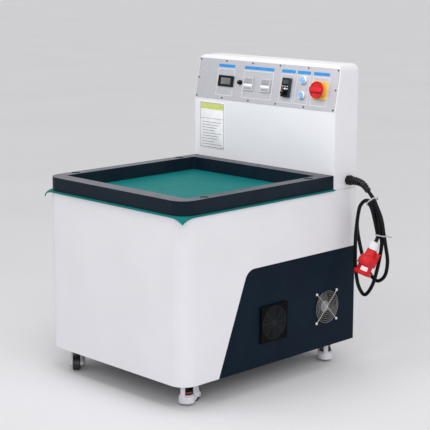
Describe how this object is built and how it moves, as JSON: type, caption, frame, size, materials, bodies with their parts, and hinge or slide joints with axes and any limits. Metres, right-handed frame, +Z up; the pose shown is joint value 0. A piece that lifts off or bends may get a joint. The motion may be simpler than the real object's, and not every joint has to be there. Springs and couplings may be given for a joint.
{
  "type": "magnetic polishing machine",
  "caption": "Floor-standing magnetic polishing machine: open trough with rubber mat over a magnet disc, raised control box, levelling casters and a coiled plug lead.",
  "frame": {"origin": "on the floor, under the middle of the cabinet's width and depth", "axes": "+Z up, -Y towards the front face that the operator stands at, +X to the operator's right, where the fan and the cable are"},
  "size_m": [0.9126, 0.848, 1.075],
  "materials": {
    "white_powder_coat": "satin powder coat on folded steel sheet",
    "navy_powder_coat": "semi-gloss navy powder coat on folded steel sheet",
    "navy_trough": "semi-gloss navy coat on aluminium section",
    "white_plate": "satin white coat on non-magnetic plate",
    "frame_paint": "matte grey primer on welded tube",
    "rear_paint": "satin powder coat on flat steel sheet",
    "mat_rubber": "matte teal rubber sheet",
    "panel_aluminium": "fine satin brushed aluminium sheet",
    "black_plastic": "fine-grained moulded plastic",
    "grey_plastic": "fine-grained moulded plastic",
    "dark_grey_plastic": "fine-grained moulded plastic",
    "white_plastic": "glossy moulded plastic",
    "red_plastic": "glossy moulded plastic",
    "yellow_plastic": "glossy moulded plastic",
    "blue_plastic": "translucent glossy moulded plastic",
    "chrome_metal": "bright plated steel and zinc",
    "bright_steel": "turned steel",
    "screw_steel": "black oxide steel",
    "cast_motor": "painted cast aluminium",
    "disc_aluminium": "turned aluminium",
    "magnet_nickel": "nickel-plated sintered magnet",
    "fan_aluminium": "die-cast frame, black coated",
    "fan_blade": "moulded plastic impeller with a pressed hub",
    "cord_rubber": "black rubber sheath",
    "sleeve_rubber": "ribbed black rubber",
    "caster_white": "cream-white coat on die-cast aluminium",
    "wheel_nylon": "black nylon",
    "thumb_red": "moulded plastic",
    "foot_rubber": "black rubber pad on a steel stem",
    "pin_brass": "bare brass"
  },
  "bodies": {
    "machine": {"cabinet_shell": "white_powder_coat", "right_side_panel": "navy_powder_coat", "left_side_panel": "navy_powder_coat", "rear_panel": "rear_paint", "base_frame": "frame_paint", "top_plate": "white_plate", "work_mat": "mat_rubber", "trough_frame": "navy_trough", "trough_caps": "black_plastic", "riser_shell": "white_powder_coat", "riser_cover": "rear_paint", "control_panel": "panel_aluminium", "panel_screws": "screw_steel", "display_unit": "black_plastic", "timers": "grey_plastic", "inverter_keypad": "dark_grey_plastic", "button_bezels": "chrome_metal", "isolator_plate": "yellow_plastic", "control_gear": "grey_plastic", "cable_gland": "black_plastic", "strain_relief": "sleeve_rubber", "power_cord": "cord_rubber", "plug_body": "red_plastic", "plug_nut": "white_plastic", "plug_pins": "pin_brass", "cable_ties": "white_plastic", "fan_frame": "fan_aluminium", "wire_guard": "chrome_metal", "filter_grille": "black_plastic", "drive_motor": "cast_motor", "motor_plate": "bright_steel", "caster_plates": "bright_steel"},
    "speed_knob_body": {"speed_knob": "black_plastic"},
    "inverter_knob_body": {"inverter_knob": "black_plastic"},
    "red_key_body": {"red_key": "red_plastic"},
    "white_key_body": {"white_key": "white_plastic"},
    "blue_key_body": {"blue_key": "blue_plastic"},
    "upper_button_body": {"upper_button": "blue_plastic"},
    "lower_button_body": {"lower_button": "blue_plastic"},
    "isolator_handle_body": {"isolator_handle": "red_plastic"},
    "fan_rotor_body": {"fan_rotor": "fan_blade"},
    "magnet_drive": {"spindle": "bright_steel", "magnet_disc": "disc_aluminium", "disc_magnets": "magnet_nickel"},
    "front_left_caster": {"front_left_housing": "caster_white"},
    "front_left_wheel_body": {"front_left_wheel": "wheel_nylon"},
    "front_left_thumbwheel_body": {"front_left_thumbwheel": "thumb_red"},
    "front_left_foot_body": {"front_left_foot": "foot_rubber"},
    "front_right_caster": {"front_right_housing": "caster_white"},
    "front_right_wheel_body": {"front_right_wheel": "wheel_nylon"},
    "front_right_thumbwheel_body": {"front_right_thumbwheel": "thumb_red"},
    "front_right_foot_body": {"front_right_foot": "foot_rubber"},
    "rear_left_caster": {"rear_left_housing": "caster_white"},
    "rear_left_wheel_body": {"rear_left_wheel": "wheel_nylon"},
    "rear_left_thumbwheel_body": {"rear_left_thumbwheel": "thumb_red"},
    "rear_left_foot_body": {"rear_left_foot": "foot_rubber"},
    "rear_right_caster": {"rear_right_housing": "caster_white"},
    "rear_right_wheel_body": {"rear_right_wheel": "wheel_nylon"},
    "rear_right_thumbwheel_body": {"rear_right_thumbwheel": "thumb_red"},
    "rear_right_foot_body": {"rear_right_foot": "foot_rubber"}
  },
  "joints": [
    {"name": "speed_knob_turn", "type": "hinge", "parent": "machine", "child": "speed_knob_body", "pos_m": [-0.11902, 0.30541, 0.98474], "axis": [0, 0.9816, -0.1908], "range_deg": [-150, 150]},
    {"name": "inverter_knob_turn", "type": "hinge", "parent": "machine", "child": "inverter_knob_body", "pos_m": [0.115, 0.28961, 0.96639], "axis": [0, 0.9816, -0.1908], "range_deg": [-150, 150]},
    {"name": "red_key_press", "type": "slide", "parent": "machine", "child": "red_key_body", "axis": [0, 0.9816, -0.1908], "range_m": [0, 0.0008], "stiffness_N_per_m": 900},
    {"name": "white_key_press", "type": "slide", "parent": "machine", "child": "white_key_body", "axis": [0, 0.9816, -0.1908], "range_m": [0, 0.0008], "stiffness_N_per_m": 900},
    {"name": "blue_key_press", "type": "slide", "parent": "machine", "child": "blue_key_body", "axis": [0, 0.9816, -0.1908], "range_m": [0, 0.0008], "stiffness_N_per_m": 900},
    {"name": "upper_button_press", "type": "slide", "parent": "machine", "child": "upper_button_body", "axis": [0, 0.9816, -0.1908], "range_m": [0, 0.004], "stiffness_N_per_m": 700},
    {"name": "lower_button_press", "type": "slide", "parent": "machine", "child": "lower_button_body", "axis": [0, 0.9816, -0.1908], "range_m": [0, 0.004], "stiffness_N_per_m": 700},
    {"name": "isolator_turn", "type": "hinge", "parent": "machine", "child": "isolator_handle_body", "pos_m": [0.27047, 0.30343, 0.98504], "axis": [0, 0.9816, -0.1908], "range_deg": [0, 90]},
    {"name": "fan_spin", "type": "hinge", "parent": "machine", "child": "fan_rotor_body", "pos_m": [0.33, 0.269, 0.2285], "axis": [1, 0, 0], "continuous": true},
    {"name": "disc_spin", "type": "hinge", "parent": "machine", "child": "magnet_drive", "pos_m": [0, -0.0555, 0.6], "axis": [0, 0, 1], "continuous": true},
    {"name": "front_left_swivel", "type": "hinge", "parent": "machine", "child": "front_left_caster", "pos_m": [-0.286, -0.344, 0.07], "axis": [0, 0, 1], "continuous": true},
    {"name": "front_left_roll", "type": "hinge", "parent": "front_left_caster", "child": "front_left_wheel_body", "pos_m": [-0.25435, -0.37456, 0.025], "axis": [0.6947, 0.7193, 0], "continuous": true},
    {"name": "front_left_thumb_turn", "type": "hinge", "parent": "front_left_caster", "child": "front_left_thumbwheel_body", "pos_m": [-0.286, -0.344, 0.041], "axis": [0, 0, 1], "range_deg": [0, 2880]},
    {"name": "front_left_foot_drop", "type": "slide", "parent": "front_left_caster", "child": "front_left_foot_body", "axis": [0, 0, -1], "range_m": [0, 0.012]},
    {"name": "front_right_swivel", "type": "hinge", "parent": "machine", "child": "front_right_caster", "pos_m": [0.286, -0.344, 0.07], "axis": [0, 0, 1], "continuous": true},
    {"name": "front_right_roll", "type": "hinge", "parent": "front_right_caster", "child": "front_right_wheel_body", "pos_m": [0.27461, -0.3015, 0.025], "axis": [-0.9659, -0.2588, 0], "continuous": true},
    {"name": "front_right_thumb_turn", "type": "hinge", "parent": "front_right_caster", "child": "front_right_thumbwheel_body", "pos_m": [0.286, -0.344, 0.041], "axis": [0, 0, 1], "range_deg": [0, 2880]},
    {"name": "front_right_foot_drop", "type": "slide", "parent": "front_right_caster", "child": "front_right_foot_body", "axis": [0, 0, -1], "range_m": [0, 0.012]},
    {"name": "rear_left_swivel", "type": "hinge", "parent": "machine", "child": "rear_left_caster", "pos_m": [-0.286, 0.345, 0.07], "axis": [0, 0, 1], "continuous": true},
    {"name": "rear_left_roll", "type": "hinge", "parent": "rear_left_caster", "child": "rear_left_wheel_body", "pos_m": [-0.264, 0.3831, 0.025], "axis": [-0.866, 0.5, 0], "continuous": true},
    {"name": "rear_left_thumb_turn", "type": "hinge", "parent": "rear_left_caster", "child": "rear_left_thumbwheel_body", "pos_m": [-0.286, 0.345, 0.041], "axis": [0, 0, 1], "range_deg": [0, 2880]},
    {"name": "rear_left_foot_drop", "type": "slide", "parent": "rear_left_caster", "child": "rear_left_foot_body", "axis": [0, 0, -1], "range_m": [0, 0.012]},
    {"name": "rear_right_swivel", "type": "hinge", "parent": "machine", "child": "rear_right_caster", "pos_m": [0.286, 0.345, 0.07], "axis": [0, 0, 1], "continuous": true},
    {"name": "rear_right_roll", "type": "hinge", "parent": "rear_right_caster", "child": "rear_right_wheel_body", "pos_m": [0.25435, 0.37556, 0.025], "axis": [-0.6947, -0.7193, 0], "continuous": true},
    {"name": "rear_right_thumb_turn", "type": "hinge", "parent": "rear_right_caster", "child": "rear_right_thumbwheel_body", "pos_m": [0.286, 0.345, 0.041], "axis": [0, 0, 1], "range_deg": [0, 2880]},
    {"name": "rear_right_foot_drop", "type": "slide", "parent": "rear_right_caster", "child": "rear_right_foot_body", "axis": [0, 0, -1], "range_m": [0, 0.012]}
  ],
  "couplings": [
    {"joint": "front_left_thumb_turn", "follows": "front_left_foot_drop", "rad_per_m": 4188.7},
    {"joint": "front_right_thumb_turn", "follows": "front_right_foot_drop", "rad_per_m": 4188.7},
    {"joint": "rear_left_thumb_turn", "follows": "rear_left_foot_drop", "rad_per_m": 4188.7},
    {"joint": "rear_right_thumb_turn", "follows": "rear_right_foot_drop", "rad_per_m": 4188.7}
  ]
}
